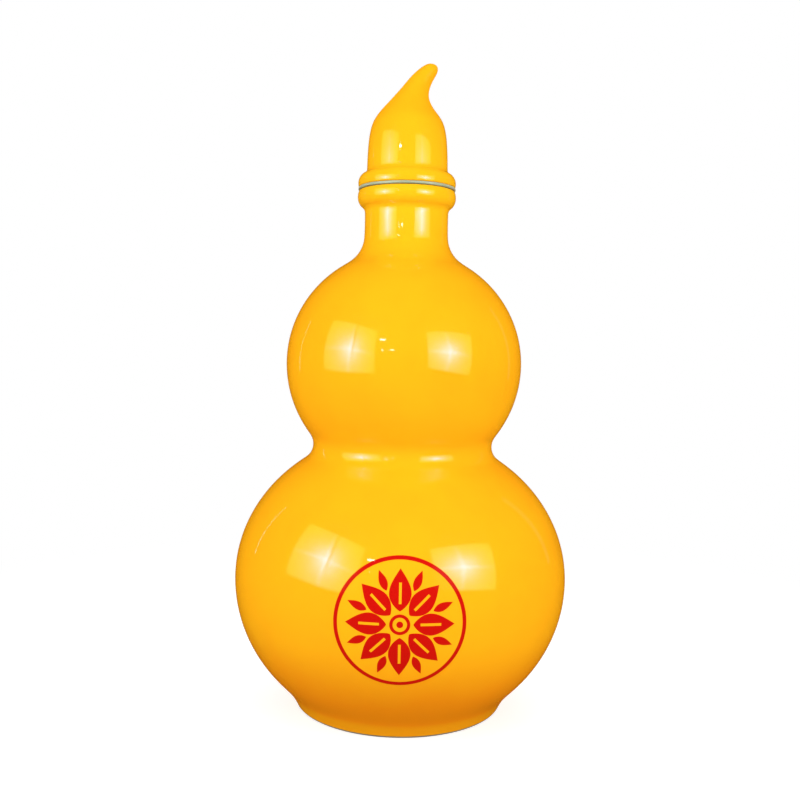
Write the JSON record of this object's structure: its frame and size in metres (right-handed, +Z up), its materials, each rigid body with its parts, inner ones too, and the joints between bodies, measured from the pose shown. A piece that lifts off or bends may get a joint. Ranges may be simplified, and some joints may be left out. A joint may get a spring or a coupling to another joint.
{
  "type": "gourd bottle",
  "caption": "Gourd-shaped glazed ceramic bottle on a foot ring, with a narrow neck and a hollow curled-stem stopper sealed by a ribbed sleeve.",
  "frame": {"origin": "on the bottle's axis, in the plane that the foot ring stands on", "axes": "+Z up along the bottle's axis, +X the way the stopper's stem curls at rest, -Y the front with the round mark"},
  "size_m": [0.1038, 0.1038, 0.1998],
  "materials": {
    "body_glaze": "glossy yellow-orange glaze",
    "seal_silicone": "translucent satin silicone",
    "stopper_glaze": "glossy yellow-orange glaze"
  },
  "bodies": {
    "bottle": {"bottle_body": "body_glaze"},
    "seal": {"seal_sleeve": "seal_silicone"},
    "stopper": {"stopper_cap": "stopper_glaze"}
  },
  "joints": [
    {"name": "stopper_lift", "type": "slide", "parent": "bottle", "child": "seal", "axis": [0, 0, 1], "range_m": [0, 0.06]},
    {"name": "stopper_turn", "type": "hinge", "parent": "seal", "child": "stopper", "pos_m": [0, 0, 0.1614], "axis": [0, 0, 1], "continuous": true}
  ]
}
